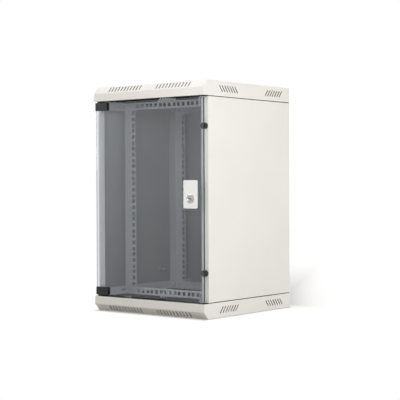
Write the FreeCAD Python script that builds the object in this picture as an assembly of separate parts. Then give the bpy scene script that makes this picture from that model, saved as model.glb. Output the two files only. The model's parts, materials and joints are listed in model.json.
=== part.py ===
import FreeCAD, Part
import math
import os
from FreeCAD import Vector

# 10-inch wall mount network cabinet, ten units high, with a frameless glass door.
# Millimetres. X runs to the right, Y from the front to the wall, Z up.
# The origin is at the middle of the underside. The glass door is hung on the left.

# ---------------------------------------------------------------- driving dimensions
# Rack standard
rack_units = 10
unit_height = 44.45
hole_step = 15.875             # middle hole of a unit to its outer holes
square_hole = 9.5
hole_column_spacing = 236.5
rack_opening = 222.25
bar_units = 5                  # units of the same hole pattern along a cross bar

# Cabinet body
cabinet_width = 350.0
cabinet_depth = 350.0
frame_overrun = 19.25          # rails run past the unit zone by this much at each end
seam_to_rail = 1.5             # end of a rail to the seam between body and cap
sheet = 1.2
bend_break = 0.8               # outside of the folds
flange_width = 20.0
body_setback = 17.5            # front of the body behind the lip of the caps

# Caps
cap_height = 36.5
chamfer_height = 17.0
chamfer_depth = 14.5
slot_width = 2.6
slot_pitch = 10.0
front_slot_count = 11
front_slot_length = 15.5
front_group_spacing = 154.0
side_slot_count = 7
side_slot_rise = 15.0
side_slot_lean = 12.0
side_group_spacing = 184.5
side_group_shift = 13.5        # middle of the two side groups behind mid-depth

# Cable entries in the caps
entry_width = 160.0
entry_depth = 60.0
entry_from_back = 62.0
entry_corner = 8.0
cover_lap = 12.0
cover_screw_inset = 6.0

# Rack frame
rail_sheet = 1.5
rail_setback = 84.0            # front face of the front rails behind the lip
rail_pair_depth = 200.0        # front face to rear face of the rail pairs
rail_side_space = 28.0         # cabinet's side to the outer faces of the rails
rail_leg = 25.0
bar_height = 18.0
bar_leg = 15.0
bar_end_space = 5.4            # end of a cross bar to the rail's leg
bar_screw_inset = 9.7          # from the end of a cross bar
depth_bar_height = 20.0
depth_slot_length = 36.0
depth_slot_height = 6.5
depth_slot_lead = 16.0         # slot starts this far outside the rail's face
cap_screw_inset = 13.5         # from the cabinet's side
cap_screw_lead = 45.0          # from the front of the body
cap_screw_tail = 60.0          # from the back of the body

# Back panel
keyhole_spacing_x = 200.0
keyhole_spacing_z = 400.0
keyhole_head_radius = 6.5
keyhole_neck_radius = 3.5
keyhole_rise = 12.0
back_screw_spacing = 360.0

# Glass door
glass_thickness = 4.0
glass_setback = 4.0
glass_hinge_margin = 2.6       # cabinet side to the glass, hinge side
glass_lock_margin = 4.0        # cabinet side to the glass, lock side
glass_end_gap = 4.5            # seam of a cap to the glass, top and bottom
glass_corner = 2.0
glass_hole_space = 1.0         # round the barrel and the clamp screws
door_opening_angle = 180.0

# Pivots and clamps
pivot_inset = 13.0             # pivot axis from the cabinet's side
pin_radius = 2.0
pin_in_clamp = 12.0
pin_in_bush = 4.0
bush_radius = 4.4
bush_head_radius = 5.7
bush_length = 5.0
clamp_width = 38.5
clamp_height = 19.0
clamp_front_thickness = 3.0
clamp_back_thickness = 4.7
clamp_barrel_radius = 10.4
clamp_corner = 3.0
clamp_skin = 1.0               # left at the end of the clamp's screw hole
clamp_end_gap = 4.0            # seam of a cap to the clamp
pad_thickness = 0.3
pad_inset = 1.0                # edge of a pad inside the clamp's edge
notch_width = 22.0
notch_height = 14.0
clamp_screw_inset = 7.0

# Door bumpers
bumper_radius = 7.5
bumper_edge = 1.2
bumper_inset = 8.5
bumper_spacing = 344.0
bumper_stem_radius = 2.4

# Lock
lock_inset = 42.5              # lock axis from the cabinet's side
lock_above_middle = 2.0
lock_plate_width = 42.0
lock_plate_above = 43.5
lock_plate_below = 23.0
lock_plate_corner = 3.0
lock_plate_thickness = 1.5
lock_gasket_thickness = 0.5
lock_back_inset = 2.0          # back plate and its gasket, smaller all round than the front plate
lock_head_radius = 11.0
lock_head_height = 1.4
lock_barrel_radius = 9.5
lock_core_radius = 6.0
lock_core_recess = 0.3
key_slot_length = 7.0
key_slot_width = 1.4
key_slot_depth = 4.0
lock_nut_flats = 24.0
lock_nut_height = 4.0
tail_side = 7.0
cam_length = 33.0
cam_width = 14.0
cam_thickness = 2.0

# Earth stud
earth_stud_length = 18.0
earth_stud_from_back = 100.0
earth_stud_height = 90.0

# Fasteners: shank radius, head radius, head height
screw_m5 = (2.5, 4.6, 2.4)
screw_m4 = (2.0, 3.6, 1.5)
nut_height_m5 = 4.0
nut_radius_m5 = 4.6
screw_end = 1.0                # shank past its nut
cam_screw_head = 5.2
cam_screw_length = 5.0
washer_radius = 6.0
washer_thickness = 1.0
fastener_sides = 6
round_sides = 24               # sides of the small round mouldings
hidden_sides = 12              # sides of round holes and pieces that others cover
slot_end_sides = 4             # sides of a long slot's end

# Named clearances
face_gap = 0.3                 # pieces that lie beside each other without touching
running_clearance = 0.05       # pins and cores in their bores
thread_clearance = 0.05
hole_clearance = 0.3
cut_overrun = 1.0              # cutting shapes run past the faces they open
edge_break = 0.5

# ---------------------------------------------------------------- derived sizes
unit_zone = rack_units * unit_height
rail_length = unit_zone + 2 * frame_overrun
body_height = rail_length + 2 * seam_to_rail
cabinet_height = body_height + 2 * cap_height
middle = cabinet_height / 2
front = -cabinet_depth / 2
side = cabinet_width / 2
upper_seam = middle + body_height / 2
body_front = front + body_setback
body_back = cabinet_depth / 2

back_panel_inner = body_back - 2 * sheet
rail_front = front + rail_setback
rail_rear = rail_front + rail_pair_depth
rail_top = middle + rail_length / 2
rail_half_span = side - rail_side_space
depth_bar_top = upper_seam - sheet
bolt_height = depth_bar_top - depth_bar_height / 2
side_screw_x = side - cap_screw_inset
bar_half_length = rail_half_span - rail_sheet - bar_end_space

glass_front = front + glass_setback
glass_back = glass_front + glass_thickness
glass_left = -side + glass_hinge_margin
glass_right = side - glass_lock_margin
glass_top = upper_seam - glass_end_gap

pivot_x = -side + pivot_inset
pivot_y = glass_front + glass_thickness / 2
clamp_top = upper_seam - clamp_end_gap
clamp_bottom = clamp_top - clamp_height
clamp_right = pivot_x - clamp_barrel_radius + clamp_width
clamp_screw_x = clamp_right - clamp_screw_inset
clamp_screw_z = (clamp_bottom + clamp_top) / 2
clamp_back_face = glass_back + pad_thickness

lock_x = side - lock_inset
lock_z = middle + lock_above_middle
plate_back = glass_front - lock_gasket_thickness
plate_front = plate_back - lock_plate_thickness
lock_back_plate_front = glass_back + lock_gasket_thickness
lock_back_plate_back = lock_back_plate_front + lock_plate_thickness
cam_front = body_front + sheet + 2 * face_gap
cam_back = cam_front + cam_thickness

bumper_x = side - bumper_inset


# ---------------------------------------------------------------- shape helpers
def box(x0, x1, y0, y1, z0, z1):
    """A block between two corners."""
    return Part.makeBox(x1 - x0, y1 - y0, z1 - z0, Vector(x0, y0, z0))


def cylinder_y(radius, x, y0, y1, z):
    return Part.makeCylinder(radius, y1 - y0, Vector(x, y0, z), Vector(0, 1, 0))


def cylinder_z(radius, x, y, z0, z1):
    return Part.makeCylinder(radius, z1 - z0, Vector(x, y, z0), Vector(0, 0, 1))


def fuse(shapes):
    return shapes[0].multiFuse(shapes[1:]).removeSplitter()


def mirror_z(shape):
    """The same piece turned over about the cabinet's mid-height."""
    return shape.mirror(Vector(0, 0, middle), Vector(0, 0, 1))


def mirror_x(shape):
    """The same piece for the other side of the cabinet."""
    return shape.mirror(Vector(0, 0, 0), Vector(1, 0, 0))


def upright_edges(shape, direction):
    """Straight edges of a shape that run along one direction."""
    found = []
    for edge in shape.Edges:
        start, end = edge.Vertexes[0].Point, edge.Vertexes[-1].Point
        run = end.sub(start)
        if run.Length > 0 and abs(run.normalize().dot(direction)) > 0.999:
            found.append(edge)
    return found


def rounded_plate_y(x0, x1, y0, y1, z0, z1, radius):
    """A plate that faces the front, with rounded corners."""
    plate = box(x0, x1, y0, y1, z0, z1)
    return plate.makeFillet(radius, upright_edges(plate, Vector(0, 1, 0)))


def cut_corner_plate_z(x0, x1, y0, y1, z0, z1):
    """A flat-lying plate with its corners cut off."""
    plate = box(x0, x1, y0, y1, z0, z1)
    return plate.makeChamfer(entry_corner, upright_edges(plate, Vector(0, 0, 1)))


def long_slot_x(x0, x1, y, z, length, height):
    """A slot with blunt round ends through a wall that faces X, lying along Y."""
    radius = height / 2
    half = length / 2 - radius
    turn = math.pi / slot_end_sides
    outline = [Vector(x0, y + end * (half + radius * math.cos(turn * k - math.pi / 2)),
                      z + end * radius * math.sin(turn * k - math.pi / 2))
               for end in (1, -1) for k in range(slot_end_sides + 1)]
    return Part.Face(Part.makePolygon(outline + outline[:1])).extrude(Vector(x1 - x0, 0, 0))


def prism(radius, height, sides=fastener_sides):
    """A regular prism standing on Z = 0, with its corners on the radius."""
    turn = 2 * math.pi / sides
    corners = [Vector(radius * math.cos(turn * k), radius * math.sin(turn * k), 0) for k in range(sides)]
    return Part.Face(Part.makePolygon(corners + corners[:1])).extrude(Vector(0, 0, height))


def placed(shape, position, direction):
    """A copy of a shape built on Z, moved and turned to point its +Z along a direction."""
    copy = shape.copy()
    copy.Placement = FreeCAD.Placement(position, FreeCAD.Rotation(Vector(0, 0, 1), direction))
    return copy


def screw_hole_x(radius, x0, x1, y, z):
    return placed(prism(radius, x1 - x0), Vector(x0, y, z), Vector(1, 0, 0))


def screw_hole_y(radius, x, y0, y1, z):
    return placed(prism(radius, y1 - y0), Vector(x, y0, z), Vector(0, 1, 0))


def screw_hole_z(radius, x, y, z0, z1):
    return placed(prism(radius, z1 - z0), Vector(x, y, z0), Vector(0, 0, 1))


def screw(size, length, sides=fastener_sides):
    """A screw whose head stands on Z = 0 and whose shank runs down."""
    shank_radius, head_radius, head_height = size
    shank = prism(shank_radius, length).translated(Vector(0, 0, -length))
    return fuse([prism(head_radius, head_height, sides), shank])


def nut_m5():
    """A nut standing on Z = 0."""
    return prism(nut_radius_m5, nut_height_m5).cut(prism(screw_m5[0] + thread_clearance, nut_height_m5))


def hole_pattern(units):
    """Offsets of the holes from the middle of a run of rack units."""
    first = -(units - 1) / 2 * unit_height
    return [first + unit * unit_height + step
            for unit in range(units) for step in (-hole_step, 0, hole_step)]


# ---------------------------------------------------------------- caps
def cap_block(inset):
    """The cap's outer form with every wall moved in by inset, open edge down, at the upper seam."""
    slope = math.atan2(chamfer_depth, chamfer_height)
    lip_top = cap_height - chamfer_height - inset * math.tan(slope / 2)
    deck_start = chamfer_depth + inset * math.tan((math.pi / 2 - slope) / 2)
    deck = cap_height - inset
    outline = [(inset, 0), (inset, lip_top), (deck_start, deck),
               (cabinet_depth - inset, deck), (cabinet_depth - inset, 0), (inset, 0)]
    points = [Vector(-side + inset, front + y, upper_seam + z) for y, z in outline]
    block = Part.Face(Part.makePolygon(points)).extrude(Vector(cabinet_width - 2 * inset, 0, 0))
    if inset >= bend_break:
        return block
    across = [edge for edge in upright_edges(block, Vector(1, 0, 0)) if edge.BoundBox.ZMin > upper_seam]
    along = [edge for edge in upright_edges(block, Vector(0, 1, 0)) if edge.BoundBox.ZMin > upper_seam]
    return block.makeChamfer(bend_break - inset, across + along)


def front_slot_cutter():
    """One vent slot through the chamfer, at mid-width."""
    cutter = Part.makeBox(slot_width, 6 * sheet, front_slot_length,
                          Vector(-slot_width / 2, -3 * sheet, -front_slot_length / 2))
    tilt = math.degrees(math.atan2(chamfer_depth, chamfer_height))
    cutter.rotate(Vector(0, 0, 0), Vector(1, 0, 0), -tilt)
    cutter.translate(Vector(0, front + chamfer_depth / 2, upper_seam + cap_height - chamfer_height / 2))
    return cutter


def side_slot_cutter(lean):
    """One slanted vent slot through the right side wall, at mid-depth; lean +1 leans to the back."""
    length = math.hypot(side_slot_rise, side_slot_lean)
    cutter = Part.makeBox(6 * sheet, slot_width, length, Vector(-3 * sheet, -slot_width / 2, -length / 2))
    tilt = math.degrees(math.atan2(side_slot_lean, side_slot_rise))
    cutter.rotate(Vector(0, 0, 0), Vector(1, 0, 0), -lean * tilt)
    cutter.translate(Vector(side, 0, upper_seam + cap_height / 2))
    return cutter


def vent_cutters():
    cutters = []
    for group in (-1, 1):
        for k in range(front_slot_count):
            x = group * front_group_spacing / 2 + (k - (front_slot_count - 1) / 2) * slot_pitch
            cutters.append(front_slot_cutter().translated(Vector(x, 0, 0)))
        for k in range(side_slot_count):
            y = side_group_shift + group * side_group_spacing / 2
            y += (k - (side_slot_count - 1) / 2) * slot_pitch
            right = side_slot_cutter(group).translated(Vector(0, y, 0))
            cutters += [right, mirror_x(right)]
    return cutters


def entry_centre_y():
    return body_back - entry_from_back - entry_depth / 2


def cover_screw_places():
    """Screw positions of a cable cover, on its lap at both ends of the entry."""
    half_x = entry_width / 2 + cover_screw_inset
    return [(sx * half_x, entry_centre_y()) for sx in (-1, 1)]


def cap_screw_places():
    """Fixings of the caps to the side panels, on the right side."""
    return [(side_screw_x, body_front + cap_screw_lead), (side_screw_x, body_back - cap_screw_tail)]


def top_cap():
    shell = cap_block(0).cut(cap_block(sheet))
    ring = box(-side, side, front, body_back, upper_seam, upper_seam + sheet)
    ring = ring.common(cap_block(0))
    window = box(-side + flange_width, side - flange_width, front + flange_width,
                 body_back - flange_width, upper_seam, upper_seam + sheet)
    cap = fuse([shell, ring.cut(window)])
    deck = upper_seam + cap_height
    entry = cut_corner_plate_z(-entry_width / 2, entry_width / 2, entry_centre_y() - entry_depth / 2,
                               entry_centre_y() + entry_depth / 2, deck - 2 * sheet, deck + sheet)
    cutters = vent_cutters() + [entry]
    for sign in (-1, 1):
        bush_hole = prism(bush_radius + running_clearance, 3 * sheet, hidden_sides)
        cutters.append(bush_hole.translated(Vector(sign * pivot_x, pivot_y, upper_seam - sheet)))
        for x, y in cap_screw_places():
            cutters.append(screw_hole_z(screw_m5[0] + thread_clearance, sign * x, y,
                                        upper_seam - sheet, upper_seam + 2 * sheet))
    for x, y in cover_screw_places():
        cutters.append(screw_hole_z(screw_m4[0] + thread_clearance, x, y, deck - 2 * sheet, deck + sheet))
    return cap.cut(Part.makeCompound(cutters))


def top_cable_cover():
    """The plate that closes the cable entry from inside the cap."""
    deck = upper_seam + cap_height - sheet
    half_x = entry_width / 2 + cover_lap
    half_y = entry_depth / 2 + cover_lap
    cover = cut_corner_plate_z(-half_x, half_x, entry_centre_y() - half_y, entry_centre_y() + half_y,
                               deck - sheet, deck)
    holes = [screw_hole_z(screw_m4[0] + hole_clearance, x, y, deck - 2 * sheet, deck + sheet)
             for x, y in cover_screw_places()]
    return cover.cut(Part.makeCompound(holes))


def cable_cover_screws():
    """Heads inside the cap, ends just below the outside of the deck."""
    seat = upper_seam + cap_height - 2 * sheet
    piece = screw(screw_m4, 2 * sheet - face_gap)
    upper = [placed(piece, Vector(x, y, seat), Vector(0, 0, -1)) for x, y in cover_screw_places()]
    return Part.makeCompound(upper + [mirror_z(fitted) for fitted in upper])


# ---------------------------------------------------------------- side and back panels
def right_side_panel():
    """A folded tray with inward flanges on all four edges."""
    outer = box(side - flange_width, side, body_front, body_back, middle - body_height / 2, upper_seam)
    bends = [edge for edge in outer.Edges if edge.BoundBox.XMin > side - sheet]
    outer = outer.makeChamfer(bend_break, bends)
    inner = box(side - flange_width, side - sheet, body_front + sheet, body_back - sheet,
                middle - body_height / 2 + sheet, upper_seam - sheet)
    cutters = [inner]
    cutters += [screw_hole_y(screw_m5[0] + hole_clearance, side_screw_x, body_back - 2 * sheet,
                             body_back + sheet, z) for z in back_screw_heights()]
    for sign in (-1, 1):
        cutters.append(screw_hole_y(bumper_stem_radius + hole_clearance, bumper_x, body_front - sheet,
                                    body_front + 2 * sheet, middle + sign * bumper_spacing / 2))
        for x, y in cap_screw_places():
            z = middle + sign * (body_height - sheet) / 2
            cutters.append(screw_hole_z(screw_m5[0] + hole_clearance, x, y, z - sheet, z + sheet))
    return outer.cut(Part.makeCompound(cutters))


def back_screw_heights():
    return [middle + sign * back_screw_spacing / 2 for sign in (-1, 1)]


def back_panel():
    """A flat plate inside the side panels' rear flanges, with keyholes above and holes below."""
    half = side - sheet - face_gap
    panel = box(-half, half, back_panel_inner, body_back - sheet, middle - rail_length / 2, rail_top)
    y0, y1 = back_panel_inner - sheet, body_back
    cutters = []
    for sign in (-1, 1):
        x = sign * keyhole_spacing_x / 2
        upper = middle + keyhole_spacing_z / 2
        for radius, z in ((keyhole_neck_radius, upper), (keyhole_head_radius, upper - keyhole_rise)):
            cutters.append(placed(prism(radius, y1 - y0, hidden_sides), Vector(x, y0, z), Vector(0, 1, 0)))
        cutters.append(box(x - keyhole_neck_radius, x + keyhole_neck_radius, y0, y1,
                           upper - keyhole_rise, upper))
        cutters.append(cylinder_y(keyhole_neck_radius, x, y0, y1, middle - keyhole_spacing_z / 2))
        cutters += [screw_hole_y(screw_m5[0] + hole_clearance, sign * side_screw_x, y0, y1, z)
                    for z in back_screw_heights()]
    return panel.cut(fuse(cutters))


def back_panel_screws():
    piece = screw(screw_m5, 2 * sheet - face_gap)
    return Part.makeCompound([placed(piece, Vector(sign * side_screw_x, back_panel_inner, z), Vector(0, -1, 0))
                              for sign in (-1, 1) for z in back_screw_heights()])


# ---------------------------------------------------------------- rack frame
def rail_bolt_y(rear):
    """Depth of the bolt through a rail's leg."""
    offset = rail_leg / 2
    return rail_rear - offset if rear else rail_front + offset


def right_rail(rear):
    """An L-section rail with the square holes of every unit; the rear one faces the wall."""
    face = rail_rear if rear else rail_front
    inward = -1 if rear else 1
    y0, y1 = sorted((face, face + inward * rail_sheet))
    leg0, leg1 = sorted((face, face + inward * rail_leg))
    z0, z1 = middle - rail_length / 2, rail_top
    flange = box(rack_opening / 2, rail_half_span, y0, y1, z0, z1)
    leg = box(rail_half_span - rail_sheet, rail_half_span, leg0, leg1, z0, z1)
    rail = fuse([flange, leg])
    x = hole_column_spacing / 2
    half = square_hole / 2
    cutters = [box(x - half, x + half, y0 - cut_overrun, y1 + cut_overrun, middle + z - half, middle + z + half)
               for z in hole_pattern(rack_units)]
    for sign in (-1, 1):
        cutters.append(screw_hole_x(screw_m5[0] + hole_clearance, rail_half_span - 2 * rail_sheet,
                                    rail_half_span + rail_sheet, rail_bolt_y(rear),
                                    middle + sign * (bolt_height - middle)))
        cutters.append(screw_hole_y(screw_m5[0] + hole_clearance, bar_screw_x(), y0 - cut_overrun,
                                    y1 + cut_overrun, middle + sign * bar_screw_rise()))
    return rail.cut(Part.makeCompound(cutters))


def bar_screw_x():
    return bar_half_length - bar_screw_inset


def bar_screw_rise():
    return rail_length / 2 - bar_height / 2


def top_bar(rear):
    """A cross bar behind the rails; the front one has the unit hole pattern laid along it."""
    inward = -1 if rear else 1
    seat = (rail_rear if rear else rail_front) + inward * rail_sheet
    y0, y1 = sorted((seat, seat + inward * rail_sheet))
    leg0, leg1 = sorted((seat, seat + inward * bar_leg))
    web = box(-bar_half_length, bar_half_length, y0, y1, rail_top - bar_height, rail_top)
    leg = box(-bar_half_length, bar_half_length, leg0, leg1, rail_top - rail_sheet, rail_top)
    z = rail_top - bar_height / 2
    half = square_hole / 2
    columns = [] if rear else hole_pattern(bar_units)
    cutters = [box(x - half, x + half, y0 - cut_overrun, y1 + cut_overrun, z - half, z + half) for x in columns]
    cutters += [screw_hole_y(screw_m5[0] + hole_clearance, sign * bar_screw_x(), y0 - cut_overrun,
                             y1 + cut_overrun, z) for sign in (-1, 1)]
    return fuse([web, leg]).cut(Part.makeCompound(cutters))


def bar_screws():
    """Heads inside the frame, shanks in the rails' flanges."""
    piece = screw(screw_m5, 2 * rail_sheet - face_gap)
    pieces = []
    for face, inward in ((rail_front, 1), (rail_rear, -1)):
        seat = face + inward * 2 * rail_sheet
        for sx in (-1, 1):
            for sz in (-1, 1):
                place = Vector(sx * bar_screw_x(), seat, middle + sz * bar_screw_rise())
                pieces.append(placed(piece, place, Vector(0, inward, 0)))
    return Part.makeCompound(pieces)


def upper_right_depth_bar():
    """An angle along the side panel that carries the rails; its slots let them move in depth."""
    y0, y1 = body_front + sheet + face_gap, back_panel_inner - face_gap
    leg_end = side - sheet - face_gap
    web = box(rail_half_span, rail_half_span + rail_sheet, y0, y1,
              depth_bar_top - depth_bar_height, depth_bar_top)
    leg = box(rail_half_span, leg_end, y0, y1, depth_bar_top - rail_sheet, depth_bar_top)
    cutters = []
    for face, inward in ((rail_front, 1), (rail_rear, -1)):
        y = face + inward * (depth_slot_length / 2 - depth_slot_lead)
        cutters.append(long_slot_x(rail_half_span - cut_overrun, rail_half_span + 2 * rail_sheet, y,
                                   bolt_height, depth_slot_length, depth_slot_height))
    for x, y in cap_screw_places():
        cutters.append(screw_hole_z(screw_m5[0] + hole_clearance, x, y, depth_bar_top - 2 * rail_sheet,
                                    depth_bar_top + sheet))
    return fuse([web, leg]).cut(Part.makeCompound(cutters))


def rail_fixings(shape, x, outward):
    """One fixing at each end of each of the four rails."""
    pieces = []
    for rear in (False, True):
        for sz in (-1, 1):
            z = middle + sz * (bolt_height - middle)
            right = placed(shape, Vector(x, rail_bolt_y(rear), z), Vector(outward, 0, 0))
            pieces += [right, mirror_x(right)]
    return Part.makeCompound(pieces)


def rail_bolts():
    length = 2 * rail_sheet + nut_height_m5 + screw_end
    return rail_fixings(screw(screw_m5, length), rail_half_span - rail_sheet, -1)


def rail_nuts():
    return rail_fixings(nut_m5(), rail_half_span + rail_sheet, 1)


def cap_screws():
    """Heads under the depth bars, threads in the caps' flanges, at each side of both caps."""
    piece = screw(screw_m5, rail_sheet + 2 * sheet + screw_end)
    pieces = []
    for x, y in cap_screw_places():
        upper = placed(piece, Vector(x, y, depth_bar_top - rail_sheet), Vector(0, 0, -1))
        for fitted in (upper, mirror_z(upper)):
            pieces += [fitted, mirror_x(fitted)]
    return Part.makeCompound(pieces)


# ---------------------------------------------------------------- door bumpers, bushes and plugs
def door_bumper(sign):
    """A rubber buffer on the front flange of the lock side."""
    z = middle + sign * bumper_spacing / 2
    front_face = glass_back + face_gap
    pad = prism(bumper_radius, body_front - front_face, round_sides)
    rim = [edge for edge in pad.Edges if edge.BoundBox.ZMax < edge_break]
    pad = placed(pad.makeChamfer(bumper_edge, rim), Vector(bumper_x, front_face, z), Vector(0, 1, 0))
    stem = screw_hole_y(bumper_stem_radius, bumper_x, body_front, body_front + 3 * sheet, z)
    return fuse([pad, stem])


def upper_pivot_bush():
    """A flanged bush in the cap's return flange; the clamp runs on its head."""
    head_base = Vector(pivot_x, pivot_y, clamp_top + face_gap)
    head = prism(bush_head_radius, upper_seam - head_base.z, round_sides).translated(head_base)
    body = prism(bush_radius, bush_length, hidden_sides).translated(Vector(pivot_x, pivot_y, upper_seam))
    bore = cylinder_z(pin_radius + running_clearance, pivot_x, pivot_y, clamp_top, upper_seam + bush_length)
    return fuse([head, body]).cut(bore)


def spare_pivot_plugs():
    """Plugs in the pivot holes of the side where the door isn't hung."""
    seat = Vector(-pivot_x, pivot_y, upper_seam)
    head = prism(bush_head_radius, sheet, hidden_sides).translated(seat - Vector(0, 0, sheet))
    body = prism(bush_radius, 3 * sheet, hidden_sides).translated(seat)
    upper = fuse([head, body])
    return Part.makeCompound([upper, mirror_z(upper)])


# ---------------------------------------------------------------- earth point
def earth_place():
    return Vector(-side + sheet, body_back - earth_stud_from_back, earth_stud_height)


def earth_stud():
    base = placed(prism(screw_m5[1], washer_thickness), earth_place(), Vector(1, 0, 0))
    stud = placed(prism(screw_m5[0], earth_stud_length), earth_place(), Vector(1, 0, 0))
    return fuse([base, stud])


def earth_washer():
    hole = prism(screw_m5[0] + thread_clearance, washer_thickness)
    ring = prism(washer_radius, washer_thickness, hidden_sides).cut(hole)
    return placed(ring, earth_place() + Vector(washer_thickness, 0, 0), Vector(1, 0, 0))


def earth_nuts():
    first = earth_place() + Vector(2 * washer_thickness, 0, 0)
    return Part.makeCompound([placed(nut_m5(), first + Vector(k * (nut_height_m5 + face_gap), 0, 0),
                                     Vector(1, 0, 0)) for k in range(2)])


# ---------------------------------------------------------------- glass door
def door_glass():
    """A single pane with notched hinge corners and holes for the clamp screws and the lock."""
    pane = rounded_plate_y(glass_left, glass_right, glass_front, glass_back,
                           2 * middle - glass_top, glass_top, glass_corner)
    y0, y1 = glass_front - cut_overrun, glass_back + cut_overrun
    lock_hole = prism(lock_barrel_radius + glass_hole_space, y1 - y0, round_sides)
    cutters = [placed(lock_hole, Vector(lock_x, y0, lock_z), Vector(0, 1, 0))]
    notch = box(glass_left - cut_overrun, glass_left + notch_width, y0, y1,
                glass_top - notch_height, glass_top + cut_overrun)
    screw_hole = screw_hole_y(screw_m4[0] + glass_hole_space, clamp_screw_x, y0, y1, clamp_screw_z)
    for piece in (notch, screw_hole):
        cutters += [piece, mirror_z(piece)]
    return pane.cut(Part.makeCompound(cutters))


def clamp_plan(y0, y1, z0, z1):
    """The clamp's plan: straight towards the door's middle, round about the pivot."""
    barrel = prism(clamp_barrel_radius, z1 - z0, round_sides).translated(Vector(pivot_x, pivot_y, z0))
    arm = box(pivot_x, clamp_right, pivot_y - clamp_barrel_radius, pivot_y + clamp_barrel_radius, z0, z1)
    slab = box(pivot_x - clamp_barrel_radius, clamp_right, y0, y1, z0, z1)
    return fuse([barrel, arm]).common(slab)


def clamp_half(y0, y1, corner, round_it):
    """A clamp half with its corners rounded or cut, as seen from the front."""
    face = box(pivot_x - clamp_barrel_radius, clamp_right, y0, y1, clamp_bottom, clamp_top)
    corners = upright_edges(face, Vector(0, 1, 0))
    face = face.makeFillet(corner, corners) if round_it else face.makeChamfer(corner, corners)
    return clamp_plan(y0, y1, clamp_bottom, clamp_top).common(face)


def upper_clamp_front():
    y1 = glass_front - pad_thickness
    y0 = y1 - clamp_front_thickness
    shank_radius, head_radius, head_height = screw_m4
    hole = screw_hole_y(shank_radius + hole_clearance, clamp_screw_x, y0, y1 + cut_overrun, clamp_screw_z)
    recess = placed(prism(head_radius + running_clearance, cut_overrun + head_height, round_sides),
                    Vector(clamp_screw_x, y0 - cut_overrun, clamp_screw_z), Vector(0, 1, 0))
    return clamp_half(y0, y1, clamp_corner, True).cut(fuse([hole, recess]))


def upper_clamp_back():
    """The rear half, with the block that fills the glass's notch and holds the pivot pin."""
    y1 = clamp_back_face + clamp_back_thickness
    half = clamp_half(clamp_back_face, y1, clamp_corner / 2, False)
    block = clamp_plan(glass_front - pad_thickness, clamp_back_face,
                       glass_top - notch_height + face_gap, clamp_top)
    reach = box(pivot_x - clamp_barrel_radius, glass_left + notch_width - face_gap,
                glass_front - pad_thickness, clamp_back_face, clamp_bottom, clamp_top)
    pin_hole = cylinder_z(pin_radius + thread_clearance / 2, pivot_x, pivot_y,
                          clamp_top - pin_in_clamp, clamp_top + cut_overrun)
    screw_hole = screw_hole_y(screw_m4[0] + thread_clearance, clamp_screw_x, clamp_back_face - cut_overrun,
                              y1 - clamp_skin, clamp_screw_z)
    return fuse([half, block.common(reach)]).cut(fuse([pin_hole, screw_hole]))


def upper_clamp_pads():
    """Soft pads between the glass and the two halves of the clamp."""
    x0, x1 = glass_left + notch_width + face_gap, clamp_right - pad_inset
    z0, z1 = clamp_bottom + pad_inset, glass_top - pad_inset
    pads = []
    for y in (glass_front - pad_thickness, glass_back):
        pad = box(x0, x1, y, y + pad_thickness, z0, z1)
        pads.append(pad.cut(screw_hole_y(screw_m4[0] + glass_hole_space, clamp_screw_x, y - cut_overrun,
                                         y + cut_overrun, clamp_screw_z)))
    return Part.makeCompound(pads)


def upper_clamp_screw():
    seat = glass_front - pad_thickness - clamp_front_thickness + screw_m4[2]
    length = clamp_back_face + clamp_back_thickness - clamp_skin - face_gap - seat
    return placed(screw(screw_m4, length, round_sides), Vector(clamp_screw_x, seat, clamp_screw_z),
                  Vector(0, -1, 0))


def upper_pivot_pin():
    return cylinder_z(pin_radius, pivot_x, pivot_y, clamp_top - pin_in_clamp, upper_seam + pin_in_bush)


# ---------------------------------------------------------------- lock
def lock_slab(y0, y1, inset):
    """A slab behind the lock's front plate, smaller all round by the inset, with the barrel's hole."""
    slab = box(lock_x - lock_plate_width / 2 + inset, lock_x + lock_plate_width / 2 - inset, y0, y1,
               lock_z - lock_plate_below + inset, lock_z + lock_plate_above - inset)
    slab = slab.makeChamfer(lock_plate_corner - inset / 2, upright_edges(slab, Vector(0, 1, 0)))
    return slab.cut(barrel_hole(y0, y1))


def barrel_hole(y0, y1):
    """The hole in the lock's plates, gaskets and nut for its barrel."""
    radius = (lock_barrel_radius + thread_clearance) / math.cos(math.pi / hidden_sides)
    return placed(prism(radius, y1 - y0, hidden_sides), Vector(lock_x, y0, lock_z), Vector(0, 1, 0))


def lock_plate():
    plate = rounded_plate_y(lock_x - lock_plate_width / 2, lock_x + lock_plate_width / 2, plate_front,
                            plate_back, lock_z - lock_plate_below, lock_z + lock_plate_above,
                            lock_plate_corner)
    rim = [edge for edge in plate.Edges if edge.BoundBox.YMax < (plate_front + plate_back) / 2]
    return plate.makeChamfer(edge_break, rim).cut(barrel_hole(plate_front, plate_back))


def lock_back_plate():
    return lock_slab(lock_back_plate_front, lock_back_plate_back, lock_back_inset)


def lock_gaskets():
    return Part.makeCompound([lock_slab(plate_back, glass_front, lock_back_inset / 2),
                              lock_slab(glass_back, lock_back_plate_front, lock_back_inset)])


def lock_housing():
    """The barrel with its head ring, bored for the core."""
    head = prism(lock_head_radius, lock_head_height, 2 * round_sides)
    rim = [edge for edge in head.Edges if edge.BoundBox.ZMax < edge_break]
    head = placed(head.makeChamfer(edge_break, rim), Vector(lock_x, plate_front - lock_head_height, lock_z),
                  Vector(0, 1, 0))
    barrel = placed(prism(lock_barrel_radius, cam_front - face_gap - plate_front, round_sides),
                    Vector(lock_x, plate_front, lock_z), Vector(0, 1, 0))
    bore = cylinder_y(lock_core_radius + running_clearance, lock_x, plate_front - 2 * lock_head_height,
                      cam_front, lock_z)
    return fuse([head, barrel]).cut(bore)


def lock_nut():
    nut = prism(lock_nut_flats / math.sqrt(3), lock_nut_height)
    nut = placed(nut, Vector(lock_x, lock_back_plate_back, lock_z), Vector(0, 1, 0))
    return nut.cut(barrel_hole(lock_back_plate_back, lock_back_plate_back + lock_nut_height))


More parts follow.
